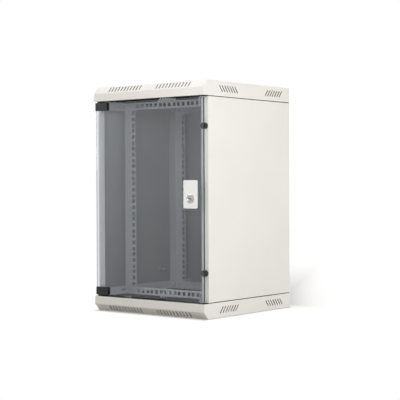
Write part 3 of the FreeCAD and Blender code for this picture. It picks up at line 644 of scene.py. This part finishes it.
def add_screws():
    """Every plain screw and bolt becomes a pan head screw with its recess and thread."""
    for name in CABINET_SCREWS:
        bm = bmesh.new()
        for points in solids_of(name):
            pan_head(bm, Turned(points))
        new_piece(name + "_detailed", bm, "cabinet", "zinc_steel", (name,))
    bm = bmesh.new()
    pan_head(bm, Turned(solids_of("cam_screw")[0]))
    new_piece("cam_screw_detailed", bm, "lock", "zinc_steel", ("cam_screw",))
    for level in ("upper", "lower"):
        name = level + "_clamp_screw"
        bm = bmesh.new()
        pan_head(bm, Turned(solids_of(name)[0]), sides=28)
        new_piece(name + "_detailed", bm, "door", "black_plastic", (name,))


def add_earth_stud():
    """A round-headed stud with its thread."""
    turned = Turned(solids_of("earth_stud")[0])
    bm = bmesh.new()
    rim, tip = headed(bm, turned, STUD_HEAD, sides=24)
    bm.faces.new(rim)
    bm.faces.new(tip)
    new_piece("earth_stud_detailed", bm, "cabinet", "zinc_steel", ("earth_stud",))


def tray(bm, sign):
    """A side panel folded from one sheet: the outer face and a flange along each of its four edges."""
    low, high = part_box("right_side_panel")
    x_in, x_out = low.x * sign, high.x * sign
    z_low, z_high = low.z + SEAM, high.z - SEAM
    out = [bm.verts.new((x, y, z)) for x in (x_in, x_out) for y in (low.y, high.y)
           for z in (z_low, z_high)]
    ins = [bm.verts.new((x, y, z)) for x in (x_in, x_out - sign * SHEET)
           for y in (low.y + SHEET, high.y - SHEET) for z in (z_low + SHEET, z_high - SHEET)]
    walls = ((4, 5, 7, 6), (0, 1, 5, 4), (2, 3, 7, 6), (0, 2, 6, 4), (1, 3, 7, 5))
    for shell in (out, ins):
        for wall in walls:
            bm.faces.new([shell[i] for i in wall])
    for a, b in ((0, 1), (1, 3), (3, 2), (2, 0)):
        bm.faces.new((out[a], out[b], ins[b], ins[a]))


def add_side_panels():
    """Side panels that leave a seam gap at each cap, and black strips in the seams that stand in for their
    shade.
    """
    low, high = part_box("right_side_panel")
    front, back = low.y + STRIP_INSET, high.y - STRIP_INSET
    outer, inner = high.x - STRIP_INSET, low.x + STRIP_INSET
    for side, sign in (("left", -1), ("right", 1)):
        bm = bmesh.new()
        tray(bm, sign)
        new_piece(side + "_side_shell", bm, "cabinet", "cabinet_paint", (side + "_side_panel",), FOLD, 3)
        # A black strip deep in each seam gap stands in for the seam's shade.
        bm = bmesh.new()
        for z in (low.z, high.z - SEAM):
            xs = sorted((sign * outer, sign * (outer - STRIP)))
            add_box(bm, (xs[0], front, z), (xs[1], back, z + SEAM))
            xs = sorted((sign * inner, sign * (outer - STRIP)))
            add_box(bm, (xs[0], front, z), (xs[1], front + STRIP, z + SEAM))
        new_piece(side + "_seam_shade_strip", bm, "cabinet", "black_rubber")


def add_rail_lips():
    """The rails' folded inner edges."""
    for name, inward in (("front", 1), ("rear", -1)):
        for side, sign in (("left", -1), ("right", 1)):
            low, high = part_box(f"{name}_{side}_rail")
            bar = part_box(name + "_top_bar")
            gap = high.z - bar[0].z + LIP_CLEAR
            inner = low.x if sign > 0 else high.x
            face = low.y if inward > 0 else high.y
            xs = sorted((inner, inner + sign * LIP_SHEET))
            ys = sorted((face + inward * LIP_STEP, face + inward * LIP_DEPTH))
            bm = bmesh.new()
            add_box(bm, (xs[0], ys[0], low.z + gap), (xs[1], ys[1], high.z - gap))
            new_piece(f"{name}_{side}_rail_lip", bm, "cabinet", "frame_paint", (), 0.3 * MM)


def add_lock():
    """The lock's ring and barrel on the door, and its core with the keyway."""
    low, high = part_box("lock_housing")
    plate_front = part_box("lock_plate")[0].y
    middle = (low + high) / 2
    place = Matrix.Translation((middle.x, plate_front, middle.z)) @ side_turn((0, -1, 0))
    wide, tall = (high.x - low.x) / 2, plate_front - low.y
    core_low, core_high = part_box("lock_cylinder")
    core = (core_high.x - core_low.x) / 2
    barrel = wide - BARREL_STEP
    back = plate_front - high.y
    # Radius and height: up the bore, over a step to the ring's flat top, and down the threaded barrel.
    profile = [(core + BORE_CLEAR, back), (core + BORE_CLEAR, 0.45 * tall), (core + 0.9 * MM, 0.8 * tall),
               (core + 1.3 * MM, 0.8 * tall), (core + 1.7 * MM, tall), (wide - 0.9 * MM, tall),
               (wide - 0.25 * MM, 0.75 * tall), (wide, 0.4 * tall), (wide, 0.0), (barrel, 0.0)]
    profile += thread(barrel, -BARREL_STEP, -back - BARREL_STEP, 1.5 * MM, 0.4 * MM)
    bm = bmesh.new()
    lathe(bm, place, profile, 64, closed=True)
    new_piece("lock_ring", bm, "door", "lock_chrome", ("lock_housing",))
    bm = bmesh.new()
    face = plate_front - core_low.y - CORE_SET_BACK
    tail = plate_front - core_high.y
    step = back - 0.5 * MM
    profile = [(core - 0.5 * MM, face), (core, face - 0.35 * MM), (core, step),
               (core - CORE_STEP, step), (core - CORE_STEP, tail)]
    rim, end = lathe(bm, place, profile, 48)
    bm.faces.new(end)
    keyway = [(-y, x) for x, y in slot_outline(*KEYWAY)]
    sink(bm, place, rim, keyway, face, KEYWAY_DEPTH, KEYWAY_TAPER)
    new_piece("lock_core", bm, "lock", "lock_chrome", ("lock_cylinder",))


def rounded(low, high, radius, steps=5):
    """The outline of a rectangle with round corners, from its low and high corner."""
    points = []
    for x, y, turn in ((high[0] - radius, high[1] - radius, 0), (low[0] + radius, high[1] - radius, 1),
                       (low[0] + radius, low[1] + radius, 2), (high[0] - radius, low[1] + radius, 3)):
        for i in range(steps + 1):
            a = math.pi / 2 * (turn + i / steps)
            points.append((x + radius * math.cos(a), y + radius * math.sin(a)))
    return points


def add_clamps():
    """The moulded covers on the glass at the hinge corners."""
    for level in ("upper", "lower"):
        name = level + "_clamp_front"
        low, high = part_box(name)
        outline = rounded((low.x, low.z - COVER_TALLER),
                          (high.x + COVER_LONGER, high.z + COVER_TALLER), COVER_CORNER)
        bm = bmesh.new()
        back = [bm.verts.new((x, high.y, z)) for x, z in outline]
        front = [bm.verts.new((x, low.y, z)) for x, z in outline]
        bm.faces.new(back)
        bm.faces.new(front)
        skin(bm, back, front)
        new_piece(level + "_clamp_cover", bm, "door", "black_plastic", (name,), COVER_EASE, 3)


def soften_nodes():
    """Eased edges on CAD nodes, as folded sheet, moulded pieces and small metal ones have."""
    for width, names in EASED_NODES:
        for name in names:
            weld = NODES[name].modifiers.new("weld", "WELD")
            weld.merge_threshold = SAME_PLACE
            add_ease(NODES[name], width)


# ------------------------------------------------------------------ stage and light
# Painted shadow: the floor's own light is held back in a shadow-shaped area behind the object.
SHADOW_AXIS = (-0.56, 0.83, 0.0)    # the shadow runs away behind the object along this line
SHADOW_CROSS = (0.83, 0.56, 0.0)
SHADOW_RIGHT = (0.24, 0.37)     # across that line, the shadow fades out between these
SHADOW_LEFT = (-0.24, -0.12)    # and between these on the other side
SHADOW_END = (0.45, 1.9)        # along that line, it fades out between these
SHADOW_START = (0.0, 0.12)      # and begins between these
FOOT_SHADE = 18 * MM            # the narrow painted contact shadow along the foot
GLOW_NEAR = 1.5                 # strength of the floor's own light inside the shadow
GLOW_SHARE = 0.2                # and its share there
FLOOR_TONES = (0.43, 0.415, 0.395), (0.45, 0.435, 0.415)
FLOOR_REACH = 14.0
FLOOR_DROP = 0.2 * MM           # the floor lies this far below the object
SKY_TINT = (0.98, 0.99, 1.0)
SKY_FILL = 0.05
WHITE = (1.0, 1.0, 1.0)
LAMP_AIM = Vector((0.0, 0.0, 0.28))
LAMPS = (                       # name, place, width in metres and power in watts
    ("overhead_lamp", (0.0, 0.0, 5.0), 4.0, 150.0),
    ("front_left_lamp", (-1.2, -1.6, 1.3), 0.9, 15.0),
    ("front_right_lamp", (0.55, -0.85, 0.6), 0.5, 3.6),
    ("side_lamp", (1.6, 0.2, 0.5), 1.0, 12.8),
    ("rear_lamp", (-2.2, 1.6, 2.4), 2.0, 25.0),
)


def floor_material():
    """A pale floor with a shadow behind the object and at its foot, painted by holding back its own light
    there over the real shadow, and plain white elsewhere.
    """
    s = Shade("studio_floor")
    tone = s.noise(scale=3.0, detail=2.0)
    s.set(Base_Color=s.ramp(tone, [(0.3, FLOOR_TONES[0]), (0.7, FLOOR_TONES[1])]), Roughness=0.9)
    along = s.vectors("DOT_PRODUCT", s.place, SHADOW_AXIS).outputs["Value"]
    across = s.vectors("DOT_PRODUCT", s.place, SHADOW_CROSS).outputs["Value"]
    # Painted shadow: less of the floor's own light behind the object and at its foot, over the real
    # shadow.
    clear = s.joined("MAXIMUM", s.remap(across, 0.0, 1.0, *SHADOW_RIGHT),
                     s.remap(across, 1.0, 0.0, *SHADOW_LEFT),
                     s.remap(along, 0.0, 1.0, *SHADOW_END),
                     s.remap(along, 1.0, 0.0, *SHADOW_START))
    clear = s.maths("MULTIPLY", clear, s.remap(s.off_footprint(), 0.0, 1.0, 0.0, FOOT_SHADE))
    glow = s.node("ShaderNodeEmission")
    s.link(s.remap(clear, GLOW_NEAR, 1.0), glow.inputs["Strength"])
    share = s.maths("MULTIPLY", showing_rays(s.tree), s.remap(clear, GLOW_SHARE, 1.0))
    s.show_mix(share, glow.outputs["Emission"])
    return s.material


def add_stage():
    """The floor, as one large square."""
    r, z = FLOOR_REACH, LOW.z - FLOOR_DROP
    mesh = bpy.data.meshes.new("studio_floor")
    mesh.from_pydata([(-r, -r, z), (r, -r, z), (r, r, z), (-r, r, z)], [], [(0, 1, 2, 3)])
    floor = bpy.data.objects.new("studio_floor", mesh)
    bpy.context.scene.collection.objects.link(floor)
    mesh.materials.append(floor_material())


def add_world():
    """White for rays that show it, and a faint fill for all others."""
    world = bpy.data.worlds.new("studio_world")
    bpy.context.scene.world = world
    world.use_nodes = True
    tree = world.node_tree
    fill = tree.nodes["Background"]
    fill.inputs["Color"].default_value = (*SKY_TINT, 1.0)
    fill.inputs["Strength"].default_value = SKY_FILL
    white = tree.nodes.new("ShaderNodeBackground")
    white.inputs["Color"].default_value = (*WHITE, 1.0)
    white.inputs["Strength"].default_value = 1.0
    end_as_mix(tree, "World Output", showing_rays(tree),
               fill.outputs["Background"], white.outputs["Background"])


def add_light():
    """Round area lamps, all turned towards the middle of the object."""
    for name, place, size, power in LAMPS:
        data = bpy.data.lights.new(name, "AREA")
        data.shape = "DISK"
        data.size = size
        data.energy = power
        lamp = bpy.data.objects.new(name, data)
        lamp.location = place
        lamp.rotation_euler = (LAMP_AIM - Vector(place)).to_track_quat("-Z", "Y").to_euler()
        bpy.context.scene.collection.objects.link(lamp)


add_camera()
dress_nodes()
add_screws()
add_earth_stud()
add_side_panels()
add_rail_lips()
add_lock()
add_clamps()
soften_nodes()
add_stage()
add_world()
add_light()

bpy.context.scene.view_settings.view_transform = "Standard"
